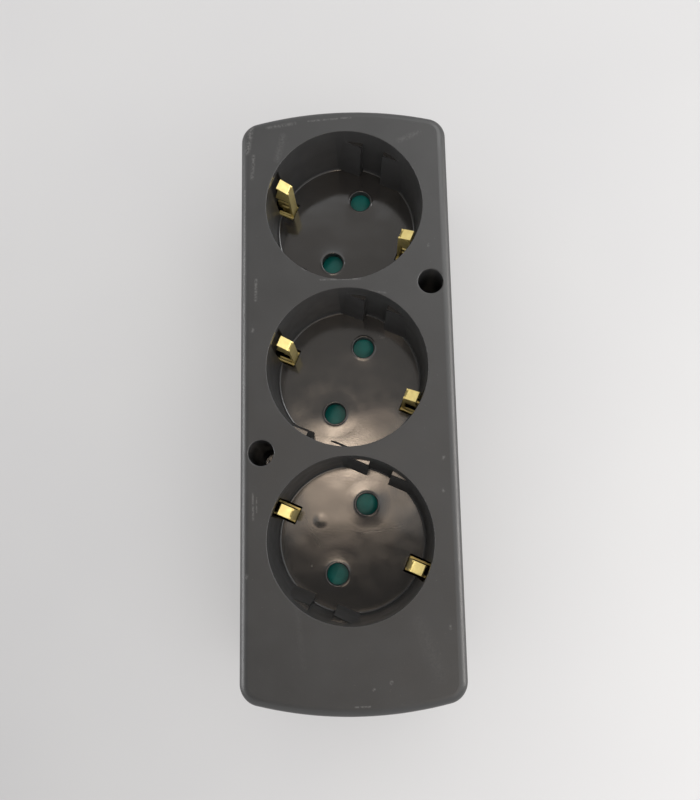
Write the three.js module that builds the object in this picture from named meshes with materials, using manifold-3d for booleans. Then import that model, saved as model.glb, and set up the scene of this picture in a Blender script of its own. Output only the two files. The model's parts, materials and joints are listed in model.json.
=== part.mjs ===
// A block of three earthed sockets in a row, to be wired to a lead by its owner.
// It lies on its rear cover. +Z points out of the face, +Y from the cable end to the head,
// and the origin is the middle of the underside. All sizes are in millimetres.

import * as THREE from "three";
import { mergeVertices } from "three/addons/utils/BufferGeometryUtils.js";
import Module from "manifold-3d";

const wasm = await Module();
wasm.setup();

// Face and outline
const socketCount = 3;
const rimDiameter = 38.6;
const floorDiameter = 37.2;
const septum = 2.2;
const sideMargin = 6.4;
const headMargin = 6.0;
const tailMargin = 19.7;
const endArcRadius = 93;
const cornerRadius = 5;
const leastCornerRadius = 0.4;
const faceFillet = 2.2;
const footFillet = 0.8;

// Shells
const wall = 2.2;
const faceThickness = 2.4;
const floorThickness = 2.0;
const plateThickness = 2.5;
const lipThickness = 1.4;
const lipHeight = 3.6;

// Clearance between pieces, and how far one solid runs past another that it cuts or joins
const gap = 0.3;
const overrun = 1;

// Plug: two pins on a line turned from the long side, and the depth that the plug enters
const recessDepth = 18.5;
const pinSpacing = 19;
const pinDiameter = 4.8;
const pinLength = 19;
const pinTipRoom = 3.0;
const pinHoleDiameter = 5.4;
const pinLineTurn = THREE.MathUtils.degToRad(-24);

// Guide ribs at both ends of the pin line, with a notch between each pair
const ribDrop = 5.0;
const ribFaceAtTop = 17.5;
const ribFaceAtFloor = 16.1;
const notchHalfWidth = 3.0;
const ribHalfSpan = 10.5;

// Earth clips: a bent strip with a nose, two cheeks under it and a collar at the recess floor
const clipFace = 15.1;
const clipStock = 0.7;
const clipWidth = 2.6;
const clipDrop = 4.6;
const noseRise = 1.2;
const noseReach = 3.3;
const noseBendReach = 0.5;
const noseBendRise = 0.1;
const noseBendDrop = 0.6;
const footBend = 1.0;
const strapWidth = 5.4;
const strapInset = 1.5;
const cheekStock = 0.45;
const cheekDrop = 10;
const cheekReach = 4.2;
const collarWidth = 3.7;
const collarReach = 5.9;
const collarTopDrop = 0.5;
const collarHeight = 4.2;
const linerReach = 4.4;

// The pockets that the clips stand in
const pocketWidth = 4.8;
const pocketRadius = 20.0;
const pocketDrop = 1.6;
const lowPocketRadius = 21.4;
const lowPocketDrop = 9.5;
const pocketWall = 1.0;

// Shutters that cover the pin holes and turn about the middle of the socket
const padRadius = 3.5;
const padThickness = 2.8;
const armThickness = 1.8;
const armWidth = 4.6;
const hubRadius = 3.6;
const pivotRadius = 1.7;
const rampAngle = THREE.MathUtils.degToRad(16);
const rampOffset = 0.35;
const springWire = 0.4;
const springPitch = 0.5;
const springTurns = 1.75;
const springPlay = 0.1;
const springCoilRadius = 2.6;
const springPostRadius = 0.8;
const springPostPlace = 6.6;
const springPegPlace = 5.2;
const keeperRadius = 3.2;
const keeperThickness = 0.6;

// Current-carrying strips and the seats that hold them
const barStock = 0.8;
const barHeight = 5.0;
const barLevel = 8.0;
const seatThickness = 1.6;
const seatShoulder = 1.2;
const leafFoot = 6.5;
const leafTop = 17.2;
const leafLength = 6.4;
const leafChamfer = 1.2;
const leafPinch = 0.2;
const leafPinchLength = 1.4;
const leafFlare = 0.3;
const leadInDepth = 2.0;
const railWidth = 4.4;
const guideInner = 9;
const guideOuter = 12;
const guideThickness = 1.2;
const guideRise = 1.1;
const rivetRadius = 1.0;
const rivetHeadRadius = 1.9;
const rivetHeadThickness = 0.8;

// Terminals
const terminalSpacing = 10;
const terminalInset = 20;
const tabWidth = 6.4;
const tabLength = 7.6;
const tabLevel = 10;
const earthTabWidth = 5.2;
const washerWidth = 5.4;
const washerThickness = 0.9;
const terminalScrewRadius = 1.5;
const terminalHeadRadius = 2.8;
const insulatorThickness = 1.0;
const insulatorTop = 15;

// Cable anchorage
const cableDiameter = 8;
const cableLevel = 12;
const inletDiameter = 9.6;
const anchorInset = 8.5;
const anchorLength = 4.6;
const cradleMargin = 0.4;
const clampSeatRise = 2.0;
const clampThickness = 1.8;
const clampPostRadius = 2.8;
const clampScrewSpacing = 17;
const clampScrewRadius = 1.4;
const clampHeadRadius = 2.5;

// Screws that hold the two shells together, reached through the face
const shellScrewInset = 5.1;
const screwHoleDiameter = 6.0;
const screwTubeWall = 1.6;
const screwSeatLevel = 15;
const screwSeatThickness = 2.5;
const shellScrewRadius = 1.5;
const shellHeadRadius = 2.6;
const bossRadius = 3.4;

// All screws: the head tapers to a share of its width, and the crossed slots span another share
const screwHeadThickness = 1.8;
const headTaper = 0.86;
const slotSpan = 0.62;
const crossSlotWidth = 0.8;
const crossSlotDepth = 0.9;
const screwTipRoom = 1.0;

// Facets on round surfaces, and the least share of its width that a mitred strip keeps
const rimFacets = 72;
const holeFacets = 28;
const smallFacets = 12;
const arcFacets = 4;
const faceFilletFacets = 5;
const footFilletFacets = 2;
const wireFacets = 3;
const springSteps = 32;
const coilPointsPerTurn = 12;
const leastMitre = 0.3;
const mergeDistance = 1e-4;

// Places worked out from the sizes above
const pitch = rimDiameter + septum;
const bodyWidth = rimDiameter + 2 * sideMargin;
const bodyLength = headMargin + tailMargin + socketCount * rimDiameter + (socketCount - 1) * septum;
const headEnd = bodyLength / 2;
const tailEnd = -bodyLength / 2;
const firstSocketY = headEnd - headMargin - rimDiameter / 2;
const socketPlaces = Array.from({ length: socketCount }, (_, index) => firstSocketY - index * pitch);
const floorTop = plateThickness + pinTipRoom + pinLength;
const floorUnderside = floorTop - floorThickness;
const height = floorTop + recessDepth;
const cupRadius = lowPocketRadius + pocketWall;
const pinRadius = pinSpacing / 2;
const pinOffset = new THREE.Vector2(0, pinRadius).rotateAround(new THREE.Vector2(), pinLineTurn);
const leafGap = pinDiameter / 2;
const barPlace = pinOffset.x + leafGap + barStock / 2;
const headSeatY = firstSocketY + pinOffset.y + leafLength / 2 + 2 * seatThickness;
const railLevel = plateThickness + gap;
const strapLevel = railLevel + barStock + gap;
const shutterTop = floorUnderside - gap;
const armFoot = shutterTop - armThickness;
const springOffset = springPostRadius + springWire / 2 + springPlay;
const springRoom = springTurns * springPitch + springWire + 2 * gap;
const keeperTop = armFoot - springRoom;
const pivotFoot = keeperTop - keeperThickness - gap;
const terminalY = tailEnd + terminalInset;
const anchorY = tailEnd + anchorInset;
const clampSeatLevel = cableLevel + clampSeatRise;
const clampTop = cableLevel + cableDiameter / 2 + clampThickness;
const screwTubeFoot = screwSeatLevel - screwSeatThickness;
const bossTop = screwTubeFoot - gap;
const shellScrewX = bodyWidth / 2 - shellScrewInset;
const shellScrewPlaces = [
  new THREE.Vector2(shellScrewX, (socketPlaces[0] + socketPlaces[1]) / 2),
  new THREE.Vector2(-shellScrewX, (socketPlaces[1] + socketPlaces[2]) / 2),
];

// Materials
const darkShell = new THREE.MeshStandardMaterial({ color: 0x4b4b4b, roughness: 0.6, metalness: 0 });
const darkCover = new THREE.MeshStandardMaterial({ color: 0x444444, roughness: 0.65, metalness: 0 });
const greenPlastic = new THREE.MeshStandardMaterial({ color: 0x0f6b5c, roughness: 0.35, metalness: 0 });
const brass = new THREE.MeshStandardMaterial({ color: 0xd9b64a, roughness: 0.25, metalness: 1 });
const steel = new THREE.MeshStandardMaterial({ color: 0xb4b6b8, roughness: 0.3, metalness: 1 });
const clampPlastic = new THREE.MeshStandardMaterial({ color: 0x3a3a3a, roughness: 0.6, metalness: 0 });

// Solid modelling helpers

function solidOf(geometry) {
  geometry.deleteAttribute("normal");
  geometry.deleteAttribute("uv");
  const merged = mergeVertices(geometry, mergeDistance);
  const mesh = new wasm.Mesh({
    numProp: 3,
    vertProperties: new Float32Array(merged.attributes.position.array),
    triVerts: new Uint32Array(merged.index.array),
  });
  return new wasm.Manifold(mesh);
}

function geometryOf(solid) {
  const mesh = solid.getMesh();
  const geometry = new THREE.BufferGeometry();
  geometry.setAttribute("position", new THREE.BufferAttribute(mesh.vertProperties, 3));
  geometry.setIndex(new THREE.BufferAttribute(mesh.triVerts, 1));
  geometry.computeVertexNormals();
  return geometry;
}

function piece(name, solid, material) {
  const mesh = new THREE.Mesh(geometryOf(solid), material);
  mesh.name = name;
  return mesh;
}

function joined(solids) {
  return solids.reduce((whole, next) => whole.add(next));
}

// A solid and its copy at the other end of the pin line or the clip line
function atBothEnds(solid) {
  return solid.add(solid.rotate([0, 0, 180]));
}

function block(x0, x1, y0, y1, z0, z1) {
  const geometry = new THREE.BoxGeometry(x1 - x0, y1 - y0, z1 - z0);
  geometry.translate((x0 + x1) / 2, (y0 + y1) / 2, (z0 + z1) / 2);
  return solidOf(geometry);
}

function cone(lowRadius, topRadius, z0, z1, x = 0, y = 0, facets = smallFacets) {
  const geometry = new THREE.CylinderGeometry(topRadius, lowRadius, z1 - z0, facets);
  geometry.rotateX(Math.PI / 2);
  geometry.translate(x, y, (z0 + z1) / 2);
  return solidOf(geometry);
}

function rod(radius, z0, z1, x = 0, y = 0, facets = smallFacets) {
  return cone(radius, radius, z0, z1, x, y, facets);
}

function rodAlongY(radius, y0, y1, x, z, facets = holeFacets) {
  const geometry = new THREE.CylinderGeometry(radius, radius, y1 - y0, facets);
  geometry.translate(x, (y0 + y1) / 2, z);
  return solidOf(geometry);
}

function prism(shape, z0, z1) {
  const options = { depth: z1 - z0, bevelEnabled: false, curveSegments: arcFacets };
  const geometry = new THREE.ExtrudeGeometry(shape, options);
  geometry.translate(0, 0, z0);
  return solidOf(geometry);
}

// A profile drawn with X along the clip line and Y up, spread across the clip line
function profileAcross(shape, width) {
  const options = { depth: width, bevelEnabled: false, curveSegments: arcFacets };
  const geometry = new THREE.ExtrudeGeometry(shape, options);
  geometry.rotateX(Math.PI / 2);
  geometry.translate(0, width / 2, 0);
  return solidOf(geometry);
}

// The outline of bent sheet metal: its centre line with half the stock on each side
function bentStrip(centreLine, stock) {
  const left = [];
  const right = [];
  centreLine.forEach((point, index) => {
    const before = centreLine[Math.max(index - 1, 0)];
    const after = centreLine[Math.min(index + 1, centreLine.length - 1)];
    const into = index === 0 ? after.clone().sub(point) : point.clone().sub(before);
    const out = index === centreLine.length - 1 ? into.clone() : after.clone().sub(point);
    into.normalize();
    out.normalize();
    const side = new THREE.Vector2(-into.y - out.y, into.x + out.x).normalize();
    const mitre = Math.max(side.dot(new THREE.Vector2(-into.y, into.x)), leastMitre);
    left.push(point.clone().addScaledVector(side, stock / 2 / mitre));
    right.unshift(point.clone().addScaledVector(side, -stock / 2 / mitre));
  });
  return new THREE.Shape([...left, ...right]);
}

function along(...numbers) {
  const points = [];
  for (let index = 0; index < numbers.length; index += 2) {
    points.push(new THREE.Vector2(numbers[index], numbers[index + 1]));
  }
  return points;
}

// Two straight long sides, two slightly arched ends and rounded corners, drawn in by an inset
function bodyOutline(inset) {
  const half = bodyWidth / 2 - inset;
  const arch = endArcRadius - inset;
  const archCentre = headEnd - endArcRadius;
  const corner = Math.max(cornerRadius - inset, leastCornerRadius);
  const cornerX = half - corner;
  const rise = Math.sqrt((arch - corner) ** 2 - cornerX ** 2);
  const cornerY = archCentre + rise;
  const lean = Math.atan2(rise, cornerX);
  const shape = new THREE.Shape();
  shape.absarc(cornerX, cornerY, corner, 0, lean, false);
  shape.absarc(0, archCentre, arch, lean, Math.PI - lean, false);
  shape.absarc(-cornerX, cornerY, corner, Math.PI - lean, Math.PI, false);
  shape.absarc(-cornerX, -cornerY, corner, Math.PI, Math.PI + lean, false);
  shape.absarc(0, -archCentre, arch, Math.PI + lean, 2 * Math.PI - lean, false);
  shape.absarc(cornerX, -cornerY, corner, 2 * Math.PI - lean, 2 * Math.PI, false);
  shape.closePath();
  return shape;
}

// The body outline as a slab whose two rims are rounded over by a fillet
function roundedSlab(z0, z1, fillet, facets) {
  const options = {
    depth: z1 - z0 - 2 * fillet,
    bevelThickness: fillet,
    bevelSize: fillet,
    bevelOffset: -fillet,
    bevelSegments: facets,
    curveSegments: arcFacets,
  };
  const geometry = new THREE.ExtrudeGeometry(bodyOutline(0), options);
  geometry.translate(0, 0, z0 + fillet);
  return solidOf(geometry);
}

// Everything between two levels
function layer(z0, z1) {
  return block(-bodyWidth, bodyWidth, -bodyLength, bodyLength, z0, z1);
}

// Turn a solid from the pin line's frame to its place at one socket of the body
function atSocket(solid, socketY) {
  const turn = THREE.MathUtils.radToDeg(pinLineTurn);
  return solid.rotate([0, 0, turn]).translate([0, socketY, 0]);
}

// Front housing

function guideRibs() {
  const topLevel = height - ribDrop;
  const outer = rimDiameter / 2 + overrun;
  const below = floorTop - overrun;
  const slope = (ribFaceAtTop - ribFaceAtFloor) / (topLevel - floorTop);
  const profile = new THREE.Shape(along(
    ribFaceAtFloor - slope * overrun, below,
    outer, below,
    outer, topLevel,
    ribFaceAtTop, topLevel,
  ));
  const bar = profileAcross(profile, 2 * ribHalfSpan).rotate([0, 0, 90]);
  const reach = outer + overrun;
  const notch = block(-notchHalfWidth, notchHalfWidth, -reach, reach, below - overrun, height);
  return atBothEnds(bar).subtract(notch);
}

function recess() {
  const profile = along(
    0, floorTop,
    floorDiameter / 2, floorTop,
    rimDiameter / 2, height,
    rimDiameter / 2, height + overrun,
    0, height + overrun,
  );
  const bowl = new THREE.LatheGeometry(profile, rimFacets);
  bowl.rotateX(Math.PI / 2);
  return solidOf(bowl).subtract(guideRibs());
}

function clipOpenings() {
  const half = pocketWidth / 2;
  const slotInner = clipFace - gap;
  const foot = floorUnderside - overrun;
  const pocket = joined([
    block(slotInner, pocketRadius, -half, half, foot, height - pocketDrop),
    block(slotInner, lowPocketRadius, -half, half, foot, height - lowPocketDrop),
  ]);
  return atBothEnds(pocket);
}

function pinHoles() {
  const foot = floorUnderside - overrun;
  return atBothEnds(rod(pinHoleDiameter / 2, foot, floorTop + overrun, 0, pinRadius, holeFacets));
}

function shutterPivotAndPost() {
  const top = floorUnderside + overrun;
  const pivot = rod(pivotRadius, pivotFoot, top);
  const post = rod(springPostRadius, keeperTop, top, -springPostPlace, springCoilRadius - springOffset);
  return pivot.add(post);
}

function frontHousing() {
  const blank = roundedSlab(plateThickness - faceFillet - overrun, height, faceFillet, faceFilletFacets);
  let hollow = prism(bodyOutline(wall), plateThickness - overrun, height - faceThickness);
  for (const socketY of socketPlaces) {
    hollow = hollow.subtract(rod(cupRadius, floorUnderside, height, 0, socketY, holeFacets));
    hollow = hollow.subtract(atSocket(shutterPivotAndPost(), socketY));
  }
  for (const { x, y } of shellScrewPlaces) {
    hollow = hollow.subtract(rod(screwHoleDiameter / 2 + screwTubeWall, screwTubeFoot, height, x, y));
  }
  let housing = blank.intersect(layer(plateThickness, height + overrun)).subtract(hollow);
  for (const socketY of socketPlaces) {
    const cuts = joined([recess(), clipOpenings(), pinHoles()]);
    housing = housing.subtract(atSocket(cuts, socketY));
  }
  for (const { x, y } of shellScrewPlaces) {
    const counterbore = rod(screwHoleDiameter / 2, screwSeatLevel, height + overrun, x, y, holeFacets);
    const shankHole = rod(shellScrewRadius + gap, screwTubeFoot - overrun, height, x, y);
    housing = housing.subtract(counterbore.add(shankHole));
  }
  const inlet = rodAlongY(inletDiameter / 2, tailEnd - overrun, tailEnd + 2 * wall, 0, cableLevel);
  return housing.subtract(inlet);
}

// Rear cover with everything that carries the metal parts

function barSeats() {
  const foot = plateThickness - overrun;
  const top = barLevel + barHeight / 2;
  const outer = barPlace + barStock / 2 + gap + seatShoulder;
  const slotHalf = barStock / 2 + gap;
  const railHalf = railWidth / 2 + gap;
  const half = seatThickness / 2;
  const betweenSockets = socketPlaces.slice(1).map((socketY) => socketY + pitch / 2);
  return joined([headSeatY, ...betweenSockets].map((y) => {
    let seat = block(-outer, outer, y - half, y + half, foot, top);
    for (const x of [-barPlace, barPlace]) {
      const slot = block(x - slotHalf, x + slotHalf, y - seatThickness, y + seatThickness,
        barLevel - gap, top + overrun);
      seat = seat.subtract(slot);
    }
    const railWay = block(-railHalf, railHalf, y - seatThickness, y + seatThickness,
      plateThickness, top + overrun);
    return seat.subtract(railWay);
  }));
}

function strapGuides() {
  const inner = strapWidth / 2 + gap;
  const guide = block(guideInner, guideOuter, inner, inner + guideThickness,
    plateThickness - overrun, strapLevel + clipStock + guideRise);
  return atBothEnds(guide.add(guide.mirror([0, 1, 0])));
}

function terminalPillars() {
  const foot = plateThickness - overrun;
  const top = tabLevel - gap;
  const halfWidth = terminalSpacing - barPlace - barStock / 2 - gap;
  const halfLength = tabLength / 2 - barStock - gap;
  const pillars = [-terminalSpacing, 0, terminalSpacing].map((x) => {
    const pillar = block(x - halfWidth, x + halfWidth, terminalY - halfLength, terminalY + halfLength,
      foot, top);
    return pillar.subtract(rod(terminalScrewRadius + gap, foot, top + overrun, x, terminalY));
  });
  const insulators = [-terminalSpacing / 2, terminalSpacing / 2].map((x) => {
    const half = insulatorThickness / 2;
    return block(x - half, x + half, terminalY - tabLength / 2, terminalY + tabLength / 2,
      foot, insulatorTop);
  });
  return joined([...pillars, ...insulators]);
}

function cableBed() {
  return rodAlongY(cableDiameter / 2, anchorY - anchorLength, anchorY + anchorLength, 0, cableLevel);
}

function cableAnchorage() {
  const foot = plateThickness - overrun;
  const half = cableDiameter / 2 + cradleMargin;
  const top = cableLevel - cableDiameter / 4;
  const cradle = block(-half, half, anchorY - anchorLength / 2, anchorY + anchorLength / 2, foot, top);
  const posts = [-clampScrewSpacing / 2, clampScrewSpacing / 2].map((x) => {
    const post = rod(clampPostRadius, foot, clampSeatLevel, x, anchorY);
    return post.subtract(rod(clampScrewRadius + gap, foot, clampSeatLevel + overrun, x, anchorY));
  });
  return joined([cradle.subtract(cableBed()), ...posts]);
}

function coverLip() {
  const foot = plateThickness - overrun;
  const top = plateThickness + lipHeight;
  const outer = prism(bodyOutline(wall + gap), foot, top);
  const inner = prism(bodyOutline(wall + gap + lipThickness), foot - overrun, top + overrun);
  return outer.subtract(inner);
}

function rearCover() {
  const foot = plateThickness - overrun;
  const slab = roundedSlab(0, plateThickness + footFillet + overrun, footFillet, footFilletFacets);
  const plate = slab.intersect(layer(-overrun, plateThickness));
  const fittings = [barSeats(), terminalPillars(), cableAnchorage()];
  for (const socketY of socketPlaces) {
    fittings.push(atSocket(strapGuides(), socketY));
  }
  for (const { x, y } of shellScrewPlaces) {
    fittings.push(rod(bossRadius, foot, bossTop, x, y));
  }
  const room = prism(bodyOutline(wall + gap), foot, height);
  let cover = joined([plate, coverLip(), joined(fittings).intersect(room)]);
  for (const { x, y } of shellScrewPlaces) {
    cover = cover.subtract(rod(shellScrewRadius + gap, plateThickness, bossTop + overrun, x, y));
  }
  for (const socketY of socketPlaces) {
    const pocketFoot = plateThickness - rivetHeadThickness - gap;
    const rivetPocket = rod(rivetHeadRadius + gap, pocketFoot, plateThickness + overrun, 0, socketY);
    cover = cover.subtract(rivetPocket);
  }
  return cover;
}

// Live and neutral bars: one pinch contact for each socket and a screw tab at the cable end

function pinchContact() {
  const leaf = leafGap + barStock / 2;
  const half = leafLength / 2;
  const line = along(
    leaf, -half,
    leaf, half - leafChamfer,
    leaf - leafChamfer, half,
    leafChamfer - leaf, half,
    -leaf, half - leafChamfer,
    -leaf, 0,
    leafPinch - leaf, leafPinchLength - half,
    -leaf - leafFlare, -half,
  );
  const leaves = prism(bentStrip(line, barStock), leafFoot, leafTop);
  const leadIn = cone(leafGap, leafGap + barStock, leafTop - leadInDepth, leafTop);
  return leaves.subtract(leadIn);
}

function busbar(side) {
  const x = side * barPlace;
  const near = terminalY - tabLength / 2;
  const lastLeafEnd = firstSocketY - pinOffset.y + leafLength / 2;
  const far = side > 0 ? headSeatY + seatThickness / 2 : lastLeafEnd;
  let bar = block(x - barStock / 2, x + barStock / 2, near, far, barLevel, barLevel + barHeight);
  for (const socketY of socketPlaces) {
    const turned = side > 0 ? pinchContact() : pinchContact().rotate([0, 0, 180]);
    bar = bar.add(turned.translate([side * pinOffset.x, socketY + side * pinOffset.y, 0]));
  }
  const tabX = side * terminalSpacing;
  const tabOuter = tabX + side * tabWidth / 2;
  const tab = block(Math.min(x, tabOuter), Math.max(x, tabOuter), near, near + tabLength,
    tabLevel, tabLevel + barStock);
  return bar.add(tab).subtract(terminalScrewHole(tabX));
}

// Earth parts

function terminalScrewHole(x) {
  const top = tabLevel + barStock + overrun;
  return rod(terminalScrewRadius + gap, tabLevel - overrun, top, x, terminalY);
}

function earthRail() {
  const far = firstSocketY + railWidth;
  const near = terminalY + tabLength / 2;
  const half = railWidth / 2;
  const tabHalf = earthTabWidth / 2;
  let rail = joined([
    block(-half, half, near - barStock, far, railLevel, railLevel + barStock),
    block(-half, half, near - barStock, near, railLevel, tabLevel + barStock),
    block(-tabHalf, tabHalf, near - tabLength, near, tabLevel, tabLevel + barStock),
  ]).subtract(terminalScrewHole(0));
  for (const socketY of socketPlaces) {
    const top = railLevel + barStock + overrun;
    rail = rail.subtract(rod(rivetRadius + gap, railLevel - overrun, top, 0, socketY));
  }
  return rail;
}

// The strip of a bracket, from nose to nose: up one clip, along the strap and up the other
function bracketLine() {
  const web = clipFace + clipStock / 2;
  const low = strapLevel + clipStock / 2;
  const top = height - clipDrop - clipStock / 2;
  const nose = clipFace + noseReach;
  return along(
    -nose, top + noseRise,
    -web - noseBendReach, top + noseBendRise,
    -web, top - noseBendDrop,
    -web, low + footBend,
    -web + footBend, low,
    web - footBend, low,
    web, low + footBend,
    web, top - noseBendDrop,
    web + noseBendReach, top + noseBendRise,
    nose, top + noseRise,
  );
}

function clipCheek() {
  const foot = height - cheekDrop;
  const top = height - clipDrop - gap;
  const shape = new THREE.Shape(along(
    clipFace, foot,
    clipFace + cheekReach, foot,
    clipFace + noseReach - gap, top,
    clipFace, top,
  ));
  return profileAcross(shape, cheekStock).translate([0, (clipWidth - cheekStock) / 2, 0]);
}

function clipCollar() {
  const top = floorTop - collarTopDrop;
  const foot = top - collarHeight;
  const half = collarWidth / 2;
  const linerHalf = half - cheekStock - gap;
  const flank = block(clipFace, clipFace + collarReach, half - cheekStock, half, foot, top);
  const liner = block(clipFace, clipFace + linerReach, linerHalf - cheekStock, linerHalf,
    foot, top - cheekStock);
  const front = block(clipFace, clipFace + clipStock, 0, half, foot, top);
  return joined([flank, liner, front]);
}

function earthBracket() {
  const strip = profileAcross(bentStrip(bracketLine(), clipStock), clipWidth);
  const side = clipCheek().add(clipCollar());
  const clip = side.add(side.mirror([0, 1, 0]));
  const strapEnd = clipFace - strapInset;
  const strapHalf = strapWidth / 2;
  const strapTop = strapLevel + clipStock;
  const strap = block(-strapEnd, strapEnd, -strapHalf, strapHalf, strapLevel, strapTop);
  const rivetHole = rod(rivetRadius + gap, strapLevel - overrun, strapTop + overrun);
  return joined([strip, atBothEnds(clip), strap]).subtract(rivetHole);
}

function earthRivet() {
  const foot = plateThickness - rivetHeadThickness;
  const head = strapLevel + clipStock + gap;
  return joined([
    rod(rivetHeadRadius, foot, foot + rivetHeadThickness),
    rod(rivetRadius, foot, head + rivetHeadThickness),
    rod(rivetHeadRadius, head, head + rivetHeadThickness),
  ]);
}

// Shutters

// What is cut from the top of a pad, so that a pin pushes the pad aside
function padRamp() {
  const size = 4 * padRadius;
  const ramp = new THREE.BoxGeometry(size, size, size);
  ramp.translate(0, 0, size / 2);
  ramp.rotateY(rampAngle);
  ramp.translate(rampOffset, pinRadius + size / 2 - padRadius, shutterTop);
  return solidOf(ramp);
}

function shutter() {
  const hub = rod(hubRadius, armFoot, shutterTop);
  const arms = block(-armWidth / 2, armWidth / 2, -pinRadius, pinRadius, armFoot, shutterTop);
  const pad = rod(padRadius, shutterTop - padThickness, shutterTop, 0, pinRadius, holeFacets);
  const peg = rod(springPostRadius, keeperTop + gap, armFoot + armThickness / 2,
    springOffset - springCoilRadius, springPegPlace);
  const pivotHole = rod(pivotRadius + gap, armFoot - overrun, shutterTop + overrun);
  return joined([hub, arms, atBothEnds(pad)])
    .subtract(atBothEnds(padRamp()))
    .add(peg)
    .subtract(pivotHole);
}

// A coil with two straight legs: one rests on the housing's post, the other on the shutter's peg
function shutterSpring() {
  const low = keeperTop + gap + springWire / 2;
  const high = low + springTurns * springPitch;
  const points = [
    new THREE.Vector3(-springPostPlace - springPostRadius, springCoilRadius, low),
    new THREE.Vector3(-springPostPlace / 2, springCoilRadius, low),
  ];
  const steps = Math.round(springTurns * coilPointsPerTurn);
  for (let step = 0; step <= steps; step += 1) {
    const share = step / steps;
    const angle = Math.PI / 2 - share * springTurns * 2 * Math.PI;
    const x = springCoilRadius * Math.cos(angle);
    const y = springCoilRadius * Math.sin(angle);
    points.push(new THREE.Vector3(x, y, low + (high - low) * share));
  }
  points.push(new THREE.Vector3(-springCoilRadius, springPegPlace / 2, high));
  points.push(new THREE.Vector3(-springCoilRadius, springPegPlace + springPostRadius / 2, high));
  const path = new THREE.CatmullRomCurve3(points, false, "centripetal");
  const section = new THREE.Shape();
  section.absarc(0, 0, springWire / 2, 0, 2 * Math.PI, false);
  const options = { steps: springSteps, bevelEnabled: false, extrudePath: path, curveSegments: wireFacets };
  return solidOf(new THREE.ExtrudeGeometry(section, options));
}

function shutterKeeper() {
  const disc = rod(keeperRadius, keeperTop - keeperThickness, keeperTop);
  return disc.subtract(rod(pivotRadius + gap, pivotFoot - overrun, keeperTop + overrun));
}

// Fasteners: a round head with a crossed recess on a plain shank, its seat at level zero
function screw(shankRadius, headRadius, shankLength) {
  const slotFoot = screwHeadThickness - crossSlotDepth;
  const shank = rod(shankRadius, -shankLength, slotFoot / 2);
  const head = cone(headRadius, headRadius * headTaper, 0, screwHeadThickness);
  const reach = headRadius * slotSpan;
  const half = crossSlotWidth / 2;
  const slot = block(-reach, reach, -half, half, slotFoot, screwHeadThickness + overrun);
  return shank.add(head).subtract(slot.add(slot.rotate([0, 0, 90])));
}

// A screw whose tip stays clear of the rear cover's plate
function placedScrew(name, shankRadius, headRadius, x, y, seatLevel) {
  const shankLength = seatLevel - plateThickness - screwTipRoom;
  const fastener = piece(name, screw(shankRadius, headRadius, shankLength), steel);
  fastener.position.set(x, y, seatLevel);
  return fastener;
}

function clampWasher() {
  const half = washerWidth / 2;
  const plate = block(-half, half, -half, half, 0, washerThickness);
  return plate.subtract(rod(terminalScrewRadius + gap, -overrun, washerThickness + overrun));
}

function cableClamp() {
  const foot = clampSeatLevel + gap;
  const half = clampScrewSpacing / 2 + clampPostRadius;
  const bridge = block(-half, half, anchorY - anchorLength / 2, anchorY + anchorLength / 2, foot, clampTop);
  const holes = [-clampScrewSpacing / 2, clampScrewSpacing / 2].map((x) => (
    rod(clampScrewRadius + gap, foot - overrun, clampTop + overrun, x, anchorY)
  ));
  return bridge.subtract(joined([cableBed(), ...holes]));
}

// Assembly

const socketBlock = new THREE.Group();
socketBlock.add(piece("front_housing", frontHousing(), darkShell));
socketBlock.add(piece("rear_cover", rearCover(), darkCover));
socketBlock.add(piece("live_busbar", busbar(1), brass));
socketBlock.add(piece("neutral_busbar", busbar(-1), brass));
socketBlock.add(piece("earth_rail", earthRail(), brass));
socketBlock.add(piece("cable_clamp", cableClamp(), clampPlastic));

socketPlaces.forEach((socketY, index) => {
  const socket = new THREE.Group();
  socket.position.y = socketY;
  socket.rotation.z = pinLineTurn;
  const number = index + 1;
  socket.add(piece(`earth_bracket_${number}`, earthBracket(), brass));
  socket.add(piece(`earth_rivet_${number}`, earthRivet(), brass));
  socket.add(piece(`shutter_${number}`, shutter(), greenPlastic));
  socket.add(piece(`shutter_spring_${number}`, shutterSpring(), steel));
  socket.add(piece(`shutter_keeper_${number}`, shutterKeeper(), steel));
  socketBlock.add(socket);
});

shellScrewPlaces.forEach(({ x, y }, index) => {
  const name = `housing_screw_${index + 1}`;
  socketBlock.add(placedScrew(name, shellScrewRadius, shellHeadRadius, x, y, screwSeatLevel + gap));
});

["neutral", "earth", "live"].forEach((name, index) => {
  const x = (index - 1) * terminalSpacing;
  const washerLevel = tabLevel + barStock + gap;
  const seatLevel = washerLevel + washerThickness + gap;
  const washer = piece(`${name}_terminal_washer`, clampWasher(), steel);
  washer.position.set(x, terminalY, washerLevel);
  socketBlock.add(washer);
  const screwName = `${name}_terminal_screw`;
  socketBlock.add(placedScrew(screwName, terminalScrewRadius, terminalHeadRadius, x, terminalY, seatLevel));
});

[-clampScrewSpacing / 2, clampScrewSpacing / 2].forEach((x, index) => {
  const name = `cable_clamp_screw_${index + 1}`;
  socketBlock.add(placedScrew(name, clampScrewRadius, clampHeadRadius, x, anchorY, clampTop + gap));
});

export default socketBlock;
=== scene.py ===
import json
import math

import bmesh
import bpy
from mathutils import Matrix, Vector


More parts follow.
